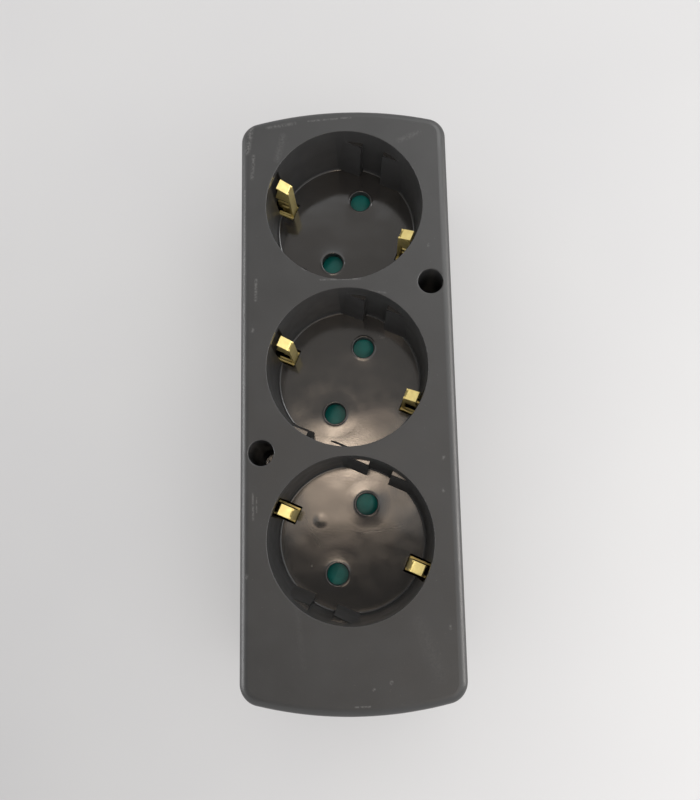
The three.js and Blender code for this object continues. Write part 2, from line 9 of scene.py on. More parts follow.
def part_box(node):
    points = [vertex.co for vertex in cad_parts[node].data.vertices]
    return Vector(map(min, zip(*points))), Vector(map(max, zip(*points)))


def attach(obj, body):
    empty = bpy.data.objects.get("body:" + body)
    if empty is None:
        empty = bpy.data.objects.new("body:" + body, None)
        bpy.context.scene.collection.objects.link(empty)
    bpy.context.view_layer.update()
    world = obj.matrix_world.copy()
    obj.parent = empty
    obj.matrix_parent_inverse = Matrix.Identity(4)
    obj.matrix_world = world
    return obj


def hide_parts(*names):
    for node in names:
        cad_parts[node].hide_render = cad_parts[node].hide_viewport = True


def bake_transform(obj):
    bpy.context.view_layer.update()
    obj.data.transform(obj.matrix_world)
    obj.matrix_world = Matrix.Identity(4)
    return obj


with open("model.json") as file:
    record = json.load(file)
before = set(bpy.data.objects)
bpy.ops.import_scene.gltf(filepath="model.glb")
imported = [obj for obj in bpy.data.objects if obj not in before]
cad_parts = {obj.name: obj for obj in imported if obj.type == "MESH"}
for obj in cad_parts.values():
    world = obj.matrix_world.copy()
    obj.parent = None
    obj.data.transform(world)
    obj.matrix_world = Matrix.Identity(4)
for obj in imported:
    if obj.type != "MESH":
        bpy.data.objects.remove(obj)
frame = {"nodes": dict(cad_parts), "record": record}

for leftover in ("Cube", "Light", "Camera"):
    if leftover in bpy.data.objects:
        bpy.data.objects.remove(bpy.data.objects[leftover])

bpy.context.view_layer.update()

# Sizes in metres; those that repeat the part's own are measured from the same origin
MM = 0.001
END_ARC_RADIUS = 93 * MM
CORNER_RADIUS = 5 * MM
LEAST_CORNER_RADIUS = 0.4 * MM
FACE_FILLET = 2.2 * MM
FOOT_FILLET = 0.8 * MM
SEAM_CHAMFER = 0.25 * MM
SHELL_INSET = 1.0 * MM
COVER_INSET = 2.0 * MM
OVERRUN = 1.0 * MM

RIM_RADIUS = 19.3 * MM
FLOOR_RADIUS = 18.6 * MM
RIM_ROUND = 0.15 * MM
FLOOR_ROUND = 0.6 * MM
FLOOR_THICKNESS = 2.0 * MM
CORE_RADIUS = 20.5 * MM

PIN_CIRCLE = 9.5 * MM
PIN_HOLE_RADIUS = 2.7 * MM
PIN_HOLE_ROUND = 0.3 * MM
SWELL_RADIUS = 6.6 * MM
SWELL_RISE = 0.045 * MM
SWELL_SINK = 0.001 * MM
LIP_WIDTH = 0.45 * MM
LIP_RISE = 0.05 * MM
DIMPLE_PLACE = Vector((-8.0, -29.1)) * MM
DIMPLE_RADIUS = 2.3 * MM
DIMPLE_RISE = 0.04 * MM
PIN_LINE_TURN = math.radians(-24)

RIB_DROP = 5.0 * MM
RIB_FACE_AT_TOP = 17.5 * MM
RIB_FACE_AT_FLOOR = 16.1 * MM
RIB_HALF_SPAN = 10.5 * MM
RIB_ROUND = 0.3 * MM
NOTCH_HALF_WIDTH = 3.0 * MM

CLIP_FACE = 15.1 * MM
CLIP_CLEARANCE = 0.3 * MM
POCKET_WIDTH = 4.8 * MM
POCKET_RADIUS = 20.0 * MM
POCKET_DROP = 1.6 * MM
LOW_POCKET_RADIUS = 21.4 * MM
LOW_POCKET_DROP = 9.5 * MM

WELL_RADIUS = 3.02 * MM
WELL_ROUND = 0.3 * MM
WELL_SEAT = 15 * MM
SHANK_HOLE_RADIUS = 1.8 * MM
INLET_RADIUS = 4.83 * MM
INLET_ROUND = 0.5 * MM
INLET_LEVEL = 12 * MM
INLET_DEPTH = 4.4 * MM

# Steps on round surfaces
CORNER_STEPS = 12
END_ARC_STEPS = 20
FILLET_STEPS = 8
ROUND_STEPS = 5
RIM_STEPS = 144
HOLE_STEPS = 56
SWELL_STEPS = 10
LIP_STEPS = 4

# How meshes are merged and shaded; a face is level above LEAST_LEVEL
SMOOTH_ANGLE = math.radians(32)
METAL_SMOOTH_ANGLE = math.radians(40)
LEAST_LEVEL = math.cos(math.radians(0.05))
HOUSING_FLATNESS = math.radians(0.02)
METAL_FLATNESS = math.radians(0.5)
WELD = 1e-7
CAD_WELD = 2e-6

# Metal and shutter pieces
METAL_EDGE = 0.07 * MM
SHUTTER_EDGE = 0.2 * MM
EDGE_ANGLE = math.radians(38)

# Places read from the frame
housing_low, housing_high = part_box("front_housing")
body_half_width = housing_high.x
body_half_length = housing_high.y
face_level = housing_high.z
seam_level = housing_low.z
mounts = {mount["name"]: Vector(mount["pos_m"]) for mount in frame["record"]["mounts"]}
socket_centres = [mounts[f"plug_seat_{number}"] for number in (1, 2, 3)]
floor_level = socket_centres[0].z


def middle_of(node):
    low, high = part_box(node)
    return (low + high) / 2


well_centres = [middle_of(f"housing_screw_{number}") for number in (1, 2)]


# Mesh helpers

def new_object(name, mesh):
    piece = bpy.data.objects.new(name, mesh)
    bpy.context.scene.collection.objects.link(piece)
    return piece


def mesh_from(name, points, faces):
    mesh = bpy.data.meshes.new(name)
    mesh.from_pydata([tuple(point) for point in points], [], faces)
    mesh.validate()
    working = bmesh.new()
    working.from_mesh(mesh)
    bmesh.ops.remove_doubles(working, verts=working.verts, dist=WELD)
    bmesh.ops.recalc_face_normals(working, faces=working.faces)
    working.to_mesh(mesh)
    working.free()
    return mesh


def arc(centre, radius, start, end, steps):
    """Points on an arc, both ends included."""
    points = []
    for step in range(steps + 1):
        angle = start + (end - start) * step / steps
        points.append((centre[0] + radius * math.cos(angle), centre[1] + radius * math.sin(angle)))
    return points


def body_outline(inset):
    """Two straight long sides, two slightly arched ends and rounded corners."""
    corner = max(CORNER_RADIUS - inset, LEAST_CORNER_RADIUS)
    arch = END_ARC_RADIUS - inset
    arch_y = body_half_length - END_ARC_RADIUS
    corner_x = body_half_width - inset - corner
    rise = math.sqrt((arch - corner) ** 2 - corner_x ** 2)
    corner_y = arch_y + rise
    lean = math.atan2(rise, corner_x)
    quarter = arc((corner_x, corner_y), corner, 0, lean, CORNER_STEPS)
    end_arc = arc((0, arch_y), arch, lean, math.pi - lean, END_ARC_STEPS)[1:-1]
    opposite = [(-x, y) for x, y in reversed(quarter)]
    head = quarter + end_arc + opposite
    return head + [(-x, -y) for x, y in head]


def slab(name, rings):
    """A solid of outlines stacked at (level, inset)."""
    points = []
    for level, inset in rings:
        points += [(x, y, level) for x, y in body_outline(inset)]
    count = len(points) // len(rings)
    faces = [list(reversed(range(count))), [len(points) - count + i for i in range(count)]]
    for ring in range(len(rings) - 1):
        for i in range(count):
            a = ring * count + i
            b = ring * count + (i + 1) % count
            faces.append([a, b, b + count, a + count])
    return new_object(name, mesh_from(name, points, faces))


def lathe(name, profile, steps, centre=(0, 0)):
    """A solid turned about a vertical axis; its profile of (radius, level) starts and ends there."""
    points = []
    faces = []
    for radius, level in profile:
        for step in range(steps):
            angle = 2 * math.pi * step / steps
            x = centre[0] + radius * math.cos(angle)
            y = centre[1] + radius * math.sin(angle)
            points.append((x, y, level))
    for row in range(len(profile) - 1):
        for step in range(steps):
            a = row * steps + step
            b = row * steps + (step + 1) % steps
            faces.append([a, b, b + steps, a + steps])
    return new_object(name, mesh_from(name, points, faces))


def box_between(name, low, high):
    points = [(x, y, z) for x in (low[0], high[0]) for y in (low[1], high[1]) for z in (low[2], high[2])]
    faces = [(0, 1, 3, 2), (4, 6, 7, 5), (0, 4, 5, 1), (2, 3, 7, 6), (0, 2, 6, 4), (1, 5, 7, 3)]
    return new_object(name, mesh_from(name, points, faces))


def extruded(name, profile, half_span):
    """A solid from a profile of (y, z) points, spread along X."""
    count = len(profile)
    points = [(x, y, z) for x in (-half_span, half_span) for y, z in profile]
    faces = [list(range(count)), [count + i for i in reversed(range(count))]]
    for i in range(count):
        following = (i + 1) % count
        faces.append([i, i + count, following + count, following])
    return new_object(name, mesh_from(name, points, faces))


def apply_modifiers(piece):
    bpy.context.view_layer.update()
    depsgraph = bpy.context.evaluated_depsgraph_get()
    mesh = bpy.data.meshes.new_from_object(piece.evaluated_get(depsgraph))
    piece.modifiers.clear()
    piece.data = mesh


def cut_or_join(target, tools, operation):
    """Cut the tools from the target, or join them to it, and remove them."""
    for tool in tools:
        modifier = target.modifiers.new(tool.name, "BOOLEAN")
        modifier.operation = operation
        modifier.solver = "MANIFOLD"
        modifier.object = tool
    apply_modifiers(target)
    for tool in tools:
        bpy.data.objects.remove(tool)
    return target


def turned(piece, angle, place=(0, 0, 0)):
    piece.data.transform(Matrix.Translation(place) @ Matrix.Rotation(angle, 4, "Z"))
    return piece


def with_whole_flats(piece, angle):
    """Merge the coplanar faces of a piece, so that a flat face is one face again."""
    working = bmesh.new()
    working.from_mesh(piece.data)
    bmesh.ops.dissolve_limit(working, angle_limit=angle, verts=working.verts, edges=working.edges)
    working.to_mesh(piece.data)
    working.free()
    return piece


def closed_copy(node, name):
    """A CAD node's mesh as a new closed object, in triangles."""
    piece = new_object(name, frame["nodes"][node].data.copy())
    working = bmesh.new()
    working.from_mesh(piece.data)
    bmesh.ops.remove_doubles(working, verts=working.verts, dist=CAD_WELD)
    working.to_mesh(piece.data)
    working.free()
    piece.data.materials.clear()
    return piece


def shade(piece, angle):
    """Smooth a piece's curves up to an angle, with normals that favour its large faces."""
    piece.data.shade_smooth()
    piece.data.set_sharp_from_angle(angle=angle)
    modifier = piece.modifiers.new("weighted_normals", "WEIGHTED_NORMAL")
    modifier.mode = "FACE_AREA"
    modifier.weight = 100
    modifier.keep_sharp = True


def part_level_faces(piece):
    """Keep the level faces of a piece truly flat beside its curves, for clean reflections."""
    working = bmesh.new()
    working.from_mesh(piece.data)
    working.normal_update()
    for edge in working.edges:
        level = [abs(face.normal.z) > LEAST_LEVEL for face in edge.link_faces]
        if any(level) and not all(level):
            edge.smooth = False
    working.to_mesh(piece.data)
    working.free()


def rounded_edges(piece, width):
    modifier = piece.modifiers.new("rounded_edges", "BEVEL")
    modifier.width = width
    modifier.segments = 2
    modifier.limit_method = "ANGLE"
    modifier.angle_limit = EDGE_ANGLE
    modifier.use_clamp_overlap = True
    apply_modifiers(piece)


# Housing

def quarter_rings(level, fillet, steps, upward):
    """Rings (level, inset) of a fillet that ends flush with a face at the level."""
    rings = []
    for step in range(steps + 1):
        angle = math.pi / 2 * step / steps
        drop = fillet * (1 - math.sin(angle))
        inset = fillet * (1 - math.cos(angle))
        rings.append((level - drop if upward else level + drop, inset))
    return rings if upward else list(reversed(rings))


def rib_pair(name):
    """The guide ribs at one end of the pin line, with the notch between them."""
    top = face_level - RIB_DROP
    outer = RIM_RADIUS + OVERRUN
    below = floor_level - OVERRUN
    slope = (RIB_FACE_AT_TOP - RIB_FACE_AT_FLOOR) / (top - floor_level)
    profile = [(RIB_FACE_AT_FLOOR - slope * OVERRUN, below), (outer, below), (outer, top)]
    centre = (RIB_FACE_AT_TOP + RIB_ROUND, top - RIB_ROUND)
    profile += arc(centre, RIB_ROUND, math.pi / 2, math.pi, ROUND_STEPS)
    rib = extruded(name, profile, RIB_HALF_SPAN)
    notch = box_between(name + "_notch", (-NOTCH_HALF_WIDTH, 0, below - OVERRUN),
                        (NOTCH_HALF_WIDTH, outer + OVERRUN, face_level))
    return cut_or_join(rib, [notch], "DIFFERENCE")


def swell(name):
    """The slight rise of a recess floor towards one pin hole, with a low lip round the hole."""
    edge = PIN_HOLE_RADIUS + PIN_HOLE_ROUND
    lip_foot = edge + LIP_WIDTH
    profile = [(0, floor_level - OVERRUN), (SWELL_RADIUS, floor_level - OVERRUN)]
    for step in range(SWELL_STEPS + 1):
        share = step / SWELL_STEPS
        radius = SWELL_RADIUS + (lip_foot - SWELL_RADIUS) * share
        profile.append((radius, floor_level + SWELL_RISE * share ** 2 - SWELL_SINK))
    for step in range(1, LIP_STEPS + 1):
        share = step / LIP_STEPS
        rise = LIP_RISE * (1 - math.cos(math.pi * share)) / 2
        profile.append((lip_foot - LIP_WIDTH * share, floor_level + SWELL_RISE + rise - SWELL_SINK))
    profile.append((0, floor_level + SWELL_RISE + LIP_RISE - SWELL_SINK))
    return lathe(name, profile, RIM_STEPS // 2, (0, PIN_CIRCLE))


def dimple(name, place):
    """A low round mark on a recess floor, as an ejector pin leaves it."""
    profile = [(0, floor_level - OVERRUN), (DIMPLE_RADIUS, floor_level - OVERRUN)]
    for step in range(SWELL_STEPS + 1):
        share = step / SWELL_STEPS
        rise = DIMPLE_RISE * (1 - math.cos(math.pi * share)) / 2
        profile.append((DIMPLE_RADIUS * (1 - share), floor_level + rise - SWELL_SINK))
    return lathe(name, profile, HOLE_STEPS, place)


def pin_hole(name):
    """What is cut for one pin: a hole with a rounded edge at the top of the lip."""
    edge_level = floor_level + SWELL_RISE + LIP_RISE - SWELL_SINK
    centre = (PIN_HOLE_RADIUS + PIN_HOLE_ROUND, edge_level - PIN_HOLE_ROUND)
    profile = [(0, floor_level - FLOOR_THICKNESS - OVERRUN),
               (PIN_HOLE_RADIUS, floor_level - FLOOR_THICKNESS - OVERRUN)]
    profile += arc(centre, PIN_HOLE_ROUND, math.pi, math.pi / 2, ROUND_STEPS)
    profile += [(PIN_HOLE_RADIUS + PIN_HOLE_ROUND, floor_level + OVERRUN), (0, floor_level + OVERRUN)]
    return lathe(name, profile, HOLE_STEPS, (0, PIN_CIRCLE))


def clip_pocket(name):
    """Room for one earth clip: a slot in the wall that is deeper lower down."""
    inner = CLIP_FACE - CLIP_CLEARANCE
    half = POCKET_WIDTH / 2
    foot = floor_level - FLOOR_THICKNESS - OVERRUN
    high_end = (POCKET_RADIUS, half, face_level - POCKET_DROP)
    low_end = (LOW_POCKET_RADIUS, half, face_level - LOW_POCKET_DROP)
    high = box_between(name, (inner, -half, foot), high_end)
    low = box_between(name + "_low", (inner, -half, foot), low_end)
    return cut_or_join(high, [low], "UNION")


def recess(name, marks):
    """What is cut for one socket, along the pin line at the origin, with the floor's round marks."""
    slope = (RIM_RADIUS - FLOOR_RADIUS) / (face_level - floor_level)
    corner = (FLOOR_RADIUS - FLOOR_ROUND, floor_level + FLOOR_ROUND)
    brink = (RIM_RADIUS + RIM_ROUND, face_level - RIM_ROUND)
    profile = [(0, floor_level)]
    profile += arc(corner, FLOOR_ROUND, -math.pi / 2, -slope, ROUND_STEPS)
    profile += arc(brink, RIM_ROUND, math.pi, math.pi / 2, ROUND_STEPS)
    profile += [(RIM_RADIUS + RIM_ROUND, face_level + OVERRUN), (0, face_level + OVERRUN)]
    bowl = lathe(name, profile, RIM_STEPS)
    kept = [rib_pair(name + "_ribs"), turned(rib_pair(name + "_far_ribs"), math.pi)]
    kept += [swell(name + "_swell"), turned(swell(name + "_far_swell"), math.pi)]
    kept += [dimple(f"{name}_mark_{i}", place) for i, place in enumerate(marks)]
    cut_or_join(bowl, kept, "DIFFERENCE")
    cuts = [pin_hole(name + "_pin"), turned(pin_hole(name + "_far_pin"), math.pi)]
    cuts += [clip_pocket(name + "_pocket"), turned(clip_pocket(name + "_far_pocket"), math.pi)]
    return cut_or_join(bowl, cuts, "UNION")


def screw_well(name, centre):
    """The deep hole for one housing screw, with the narrower hole for its shank below."""
    brink = (WELL_RADIUS + WELL_ROUND, face_level - WELL_ROUND)
    profile = [(0, 0), (SHANK_HOLE_RADIUS, 0), (SHANK_HOLE_RADIUS, WELL_SEAT), (WELL_RADIUS, WELL_SEAT)]
    profile += arc(brink, WELL_ROUND, math.pi, math.pi / 2, ROUND_STEPS)
    profile += [(WELL_RADIUS + WELL_ROUND, face_level + OVERRUN), (0, face_level + OVERRUN)]
    return lathe(name, profile, HOLE_STEPS, (centre.x, centre.y))


def cable_inlet(name):
    """A round hole through the end wall with a rounded outer edge."""
    brink = (INLET_RADIUS + INLET_ROUND, -INLET_ROUND)
    profile = [(0, -INLET_DEPTH), (INLET_RADIUS, -INLET_DEPTH)]
    profile += arc(brink, INLET_ROUND, math.pi, math.pi / 2, ROUND_STEPS)
    profile += [(INLET_RADIUS + INLET_ROUND, OVERRUN), (0, OVERRUN)]
    inlet = lathe(name, profile, HOLE_STEPS)
    facing = Matrix.Rotation(math.pi / 2, 4, "X")
    inlet.data.transform(Matrix.Translation((0, -body_half_length, INLET_LEVEL)) @ facing)
    return inlet


def room_inside(node, name, rings):
    """The hollows of a CAD shell, inside an outline that runs within its walls."""
    room = slab(name, rings)
    return cut_or_join(room, [closed_copy(node, name + "_shell")], "DIFFERENCE")


def socket_core(name, centre):
    """What stays whole of one socket until its own finer shape is cut."""
    low = floor_level - FLOOR_THICKNESS / 2
    profile = [(0, low), (CORE_RADIUS, low), (CORE_RADIUS, face_level), (0, face_level)]
    return lathe(name, profile, RIM_STEPS, (centre.x, centre.y))


def front_housing():
    """The face and side walls, hollow as the CAD's own, with finer sockets, wells and inlet."""
    rings = [(seam_level, SEAM_CHAMFER), (seam_level + SEAM_CHAMFER, 0)]
    rings += quarter_rings(face_level, FACE_FILLET, FILLET_STEPS, True)
    housing = slab("housing", rings)
    room_rings = [(seam_level - OVERRUN, SHELL_INSET), (face_level - OVERRUN, SHELL_INSET)]
    room = room_inside("front_housing", "room", room_rings)
    cores = [socket_core(f"core_{i}", centre) for i, centre in enumerate(socket_centres)]
    cut_or_join(room, cores, "DIFFERENCE")
    cut_or_join(housing, [room], "DIFFERENCE")
    cuts = []
    for i, centre in enumerate(socket_centres):
        to_dimple = DIMPLE_PLACE - centre.xy
        marks = []
        if to_dimple.length < FLOOR_RADIUS:
            marks.append(to_dimple @ Matrix.Rotation(PIN_LINE_TURN, 2))
        cuts.append(turned(recess(f"recess_{i}", marks), PIN_LINE_TURN, (centre.x, centre.y, 0)))
    cuts += [screw_well(f"well_{i}", centre) for i, centre in enumerate(well_centres)]
    cuts.append(cable_inlet("inlet"))
    cut_or_join(housing, cuts, "DIFFERENCE")
    return with_whole_flats(housing, HOUSING_FLATNESS)


def rear_cover():
    """The flat back, rounded at its foot, with the CAD cover's fittings inside its lip."""
    rings = quarter_rings(0, FOOT_FILLET, FILLET_STEPS, False)
    rings += [(seam_level - SEAM_CHAMFER, 0), (seam_level, SEAM_CHAMFER)]
    cover = slab("back_shell", rings)
    half_plate = seam_level / 2
    hollow_rings = [(half_plate, COVER_INSET), (seam_level + OVERRUN, COVER_INSET)]
    cut_or_join(cover, [room_inside("rear_cover", "pockets", hollow_rings)], "DIFFERENCE")
    fittings = closed_copy("rear_cover", "fittings")
    keep = slab("fittings_room", [(half_plate, COVER_INSET), (floor_level, COVER_INSET)])
    cut_or_join(fittings, [keep], "INTERSECT")
    return cut_or_join(cover, [fittings], "UNION")


def dress(piece, node, angle):
    """Let a piece stand for a CAD node: shaded, on the same body, with the node itself hidden."""
    shade(piece, angle)
    bodies = frame["record"]["behaviour"]["bodies"]
    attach(piece, next(body for body, nodes in bodies.items() if node in nodes))
    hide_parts(node)
    return piece


def refined(node, name, width):
    """A CAD node's copy with its edges rounded over."""
    piece = with_whole_flats(closed_copy(node, name), METAL_FLATNESS)
    rounded_edges(piece, width)
    return dress(piece, node, METAL_SMOOTH_ANGLE)


def twisting_spring(number):
    """A torsion spring copied from its CAD node and shaded, with the node hidden."""
    node = f"shutter_spring_{number}"
    spring = closed_copy(node, f"turning_spring_{number}")
    shade(spring, METAL_SMOOTH_ANGLE)
    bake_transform(spring)
    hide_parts(node)
    return spring


slots = {row["node"]: row["material_slot"] for row in frame["record"]["subparts"]}
housing = dress(front_housing(), "front_housing", SMOOTH_ANGLE)
back_shell = dress(rear_cover(), "rear_cover", SMOOTH_ANGLE)
for shell in (housing, back_shell):
    part_level_faces(shell)
earth_clips = [refined(f"earth_bracket_{number}", f"earth_clip_{number}", METAL_EDGE)
               for number in (1, 2, 3)]
shutter_plates = [refined(f"shutter_{number}", f"shutter_plate_{number}", SHUTTER_EDGE)
                  for number in (1, 2, 3)]
springs = [twisting_spring(number) for number in (1, 2, 3)]
face_screws = [refined(f"housing_screw_{number}", f"face_screw_{number}", METAL_EDGE)
               for number in (1, 2)]


# Materials: ranges of noise that patterns use, depths of their effects, and tones of wear and of painted
# highlights

NOISE_RANGE = (0.3, 0.7)
BROKEN_RANGE = (0.35, 0.6)
TARNISH_RANGE = (0.35, 0.7)
DUST_RANGE = (0.70, 0.80)
DUST_STRENGTH = 0.22
PATCH_DEPTH = 0.07
SHEEN_SPREAD = 0.04
GRAIN_SIZE = 0.22
FINE_WAVE = 0.004
SCUFF_LUMP = 0.45
SCRATCH_LUMP = 0.5
ROLLED_STRETCH = (6, 1, 6)
DUST_AND_HIGHLIGHT_TONE = (0.17, 0.165, 0.16)
SCRATCH_TONE = (0.20, 0.18, 0.16)
WHOLE_METAL = 1.0
BRASS_METAL = 0.55


class Paint:
    """A Principled material built from a few small steps; lengths in its patterns are in millimetres."""

    def __init__(self, name):
        self.material = bpy.data.materials.new(name)
        self.material.use_nodes = True
        self.tree = self.material.node_tree
        self.tree.nodes.clear()
        output = self.node("ShaderNodeOutputMaterial")
        self.shader = self.node("ShaderNodeBsdfPrincipled")
        self.link(self.shader.outputs["BSDF"], output.inputs["Surface"])
        coordinates = self.node("ShaderNodeTexCoord")
        scaled = self.node("ShaderNodeVectorMath")
        scaled.operation = "SCALE"
        scaled.inputs["Scale"].default_value = 1 / MM
        self.link(coordinates.outputs["Object"], scaled.inputs[0])
        self.place = scaled.outputs["Vector"]

    def node(self, kind):
        return self.tree.nodes.new(kind)

    def link(self, output, target):
        self.tree.links.new(output, target)

    def give(self, target, value):
        """Set a socket to a plain value, or link it to another node's output."""
        if isinstance(value, bpy.types.NodeSocket):
            self.link(value, target)
        else:
            target.default_value = value

    def noise(self, size, detail, stretch=(1, 1, 1)):
        """Noise whose lumps are about this size."""
        spread = self.node("ShaderNodeVectorMath")
        spread.operation = "DIVIDE"
        self.link(self.place, spread.inputs[0])
        spread.inputs[1].default_value = [size * factor for factor in stretch]
        noise = self.node("ShaderNodeTexNoise")
        noise.inputs["Scale"].default_value = 1.0
        noise.inputs["Detail"].default_value = detail
        self.link(spread.outputs["Vector"], noise.inputs["Vector"])
        return noise.outputs["Fac"]

    def between(self, value, low, high, to_low=0.0, to_high=1.0):
        """Spread a value's range from low to high over another range, and stop at its ends."""
        spread = self.node("ShaderNodeMapRange")
        spread.inputs["From Min"].default_value = low
        spread.inputs["From Max"].default_value = high
        spread.inputs["To Min"].default_value = to_low
        spread.inputs["To Max"].default_value = to_high
        self.link(value, spread.inputs["Value"])
        return spread.outputs["Result"]

    def varied(self, size, detail, low=0.0, high=1.0):
        """Noise that runs from low to high over the range that most of it lies in."""
        return self.between(self.noise(size, detail), *NOISE_RANGE, low, high)

    def math(self, operation, first, second):
        step = self.node("ShaderNodeMath")
        step.operation = operation
        self.give(step.inputs[0], first)
        self.give(step.inputs[1], second)
        return step.outputs[0]

    def mixed(self, share, first, second):
        """Colours, plain or linked, mixed by a share from 0 to 1."""
        mix = self.node("ShaderNodeMix")
        mix.data_type = "RGBA"
        self.link(share, mix.inputs[0])
        for target, colour in ((mix.inputs[6], first), (mix.inputs[7], second)):
            self.give(target, colour if isinstance(colour, bpy.types.NodeSocket) else (*colour, 1))
        return mix.outputs[2]

    def bumped(self, height, distance, onto=None):
        """Relief of a height pattern, on top of another relief; the distance is in millimetres."""
        bump = self.node("ShaderNodeBump")
        bump.inputs["Distance"].default_value = distance * MM
        self.link(height, bump.inputs["Height"])
        if onto is not None:
            self.link(onto, bump.inputs["Normal"])
        return bump.outputs["Normal"]

    def marks(self, strokes, lump):
        """Strokes (x0, y0, x1, y1, half width, strength) on level faces, broken up by noise: wear, and
        painted highlights where a list holds them.
        """
        flat = self.node("ShaderNodeVectorMath")
        flat.operation = "MULTIPLY"
        self.link(self.place, flat.inputs[0])
        flat.inputs[1].default_value = (1, 1, 0)
        whole = None
        for x0, y0, x1, y1, half_width, strength in strokes:
            span = Vector((x1 - x0, y1 - y0, 0))
            from_start = self.node("ShaderNodeVectorMath")
            from_start.operation = "SUBTRACT"
            self.link(flat.outputs["Vector"], from_start.inputs[0])
            from_start.inputs[1].default_value = (x0, y0, 0)
            along = self.node("ShaderNodeVectorMath")
            along.operation = "DOT_PRODUCT"
            self.link(from_start.outputs["Vector"], along.inputs[0])
            along.inputs[1].default_value = span / span.length_squared
            nearest = self.node("ShaderNodeVectorMath")
            nearest.operation = "SCALE"
            nearest.inputs[0].default_value = span
            self.link(self.between(along.outputs["Value"], 0, 1), nearest.inputs["Scale"])
            apart = self.node("ShaderNodeVectorMath")
            apart.operation = "DISTANCE"
            self.link(from_start.outputs["Vector"], apart.inputs[0])
            self.link(nearest.outputs["Vector"], apart.inputs[1])
            stroke = self.between(apart.outputs["Value"], 0, half_width, strength, 0)
            whole = stroke if whole is None else self.math("MAXIMUM", whole, stroke)
        return self.math("MULTIPLY", whole, self.between(self.noise(lump, 3), *BROKEN_RANGE))

    def finish(self, colour, roughness, normal=None, metallic=0.0, **constants):
        """Connect the patterns to the shader and set its constants by their socket names."""
        self.give(self.shader.inputs["Base Color"], colour)
        self.give(self.shader.inputs["Roughness"], roughness)
        self.shader.inputs["Metallic"].default_value = metallic
        if normal is not None:
            self.link(normal, self.shader.inputs["Normal"])
        for label, value in constants.items():
            self.shader.inputs[label.replace("_", " ")].default_value = value
        return self.material


def shell_paint(name, tone, roughness, grain, marks=()):
    """Matt moulded plastic with a fine spark-eroded grain and slightly patchy sheen."""
    paint = Paint(name)
    darker = [(1 - PATCH_DEPTH) * part for part in tone]
    lighter = [(1 + PATCH_DEPTH) * part for part in tone]
    colour = paint.mixed(paint.varied(9, 3), darker, lighter)
    sheen = paint.varied(5, 4, roughness - SHEEN_SPREAD, roughness + SHEEN_SPREAD)
    if marks:
        # Painted highlights along socket rims and worn scuffs from the listed marks, with random dust,
        # all mixed towards one lighter tone
        scuffs_and_highlights = paint.marks(marks, SCUFF_LUMP)
        dust = paint.between(paint.noise(SCUFF_LUMP, 2), *DUST_RANGE, 0.0, DUST_STRENGTH)
        colour = paint.mixed(paint.math("MAXIMUM", scuffs_and_highlights, dust), colour, DUST_AND_HIGHLIGHT_TONE)
    normal = paint.bumped(paint.noise(GRAIN_SIZE, 2), grain)
    return paint.finish(colour, sheen, normal)


def recess_paint(name, dark, light, low, high, gloss, wave):
    """The dark, slightly wavy inside of a recess, with a roughness from low to high."""
    paint = Paint(name)
    colour = paint.mixed(paint.varied(7, 3), dark, light)
    sheen = paint.varied(4, 3, low, high)
    waves = paint.bumped(paint.noise(9, 1), wave)
    normal = paint.bumped(paint.noise(0.5, 2), FINE_WAVE, waves)
    scratched = paint.marks(FLOOR_MARKS, SCRATCH_LUMP)
    colour = paint.mixed(scratched, colour, SCRATCH_TONE)
    return paint.finish(colour, sheen, normal, Specular_IOR_Level=gloss)


def metal_paint(name, light, dark, low, high, metallic):
    """Rolled or plated metal with faint lines along its grain and slightly tarnished patches."""
    paint = Paint(name)
    tarnish = paint.between(paint.noise(1.6, 3), *TARNISH_RANGE)
    colour = paint.mixed(tarnish, light, dark)
    sheen = paint.varied(1.1, 3, low, high)
    normal = paint.bumped(paint.noise(0.12, 2, ROLLED_STRETCH), FINE_WAVE)
    return paint.finish(colour, sheen, normal, metallic)


def shutter_paint():
    """Green moulded plastic with a soft sheen."""
    paint = Paint("shutter_green")
    colour = paint.mixed(paint.varied(2.5, 2), (0.003, 0.120, 0.100), (0.004, 0.150, 0.126))
    sheen = paint.varied(1.2, 2, 0.28, 0.36)
    normal = paint.bumped(paint.noise(0.6, 2), 0.006)
    return paint.finish(colour, sheen, normal, Specular_IOR_Level=0.25)


# Wear as (x0, y0, x1, y1, half width, strength), in millimetres on the face or on the recess floors; the
# face's list also holds painted highlights along socket rims
FACE_WEAR_AND_HIGHLIGHTS = (
    (-21.9, 23.6, -21.8, 28.7, 0.5, 0.7), (-22.6, 15.9, -22.5, 16.3, 0.5, 0.6),
    (-8.6, 70.0, 2.0, 70.6, 0.35, 0.6), (-6.1, 28.3, 3.6, 28.3, 0.3, 0.8),
    (-10.4, 31.4, -9.8, 31.0, 0.4, 0.7), (4.8, 25.3, 9.6, 24.6, 0.3, 0.6),
    (8.5, -65.5, 8.6, -65.3, 0.5, 0.8), (4.5, -66.9, 4.7, -66.8, 0.4, 0.8),
    (0.4, -70.5, 3.8, -70.4, 0.25, 0.7), (-23.9, -42.1, -23.8, -41.6, 0.5, 0.7),
    (-22.5, -23.0, -22.4, -29.0, 0.35, 0.6), (-21.6, -24.0, -21.6, -27.5, 0.25, 0.5),
    (22.1, -53.9, 22.1, -53.5, 0.5, 0.6), (22.0, -15.9, 22.1, -15.4, 0.5, 0.6),
    (21.7, -23.3, 21.7, -22.9, 0.45, 0.6), (20.4, 36.1, 20.4, 36.6, 0.45, 0.6),
    (-24.0, 62.0, -23.0, 69.0, 0.9, 0.7), (-22.8, 55.0, -22.4, 61.0, 0.6, 0.6),
    (-24.6, 30.0, -24.6, 52.0, 0.25, 0.5), (-12.0, 69.5, -19.0, 68.5, 0.6, 0.5),
    (-16.5, 60.0, -15.0, 66.0, 1.2, 0.25), (14.0, 64.0, 19.0, 66.0, 1.0, 0.25),
    (-12.5, -48.0, -11.0, -62.0, 1.0, 0.08), (15.0, -52.0, 19.5, -64.0, 2.4, 0.07),
)
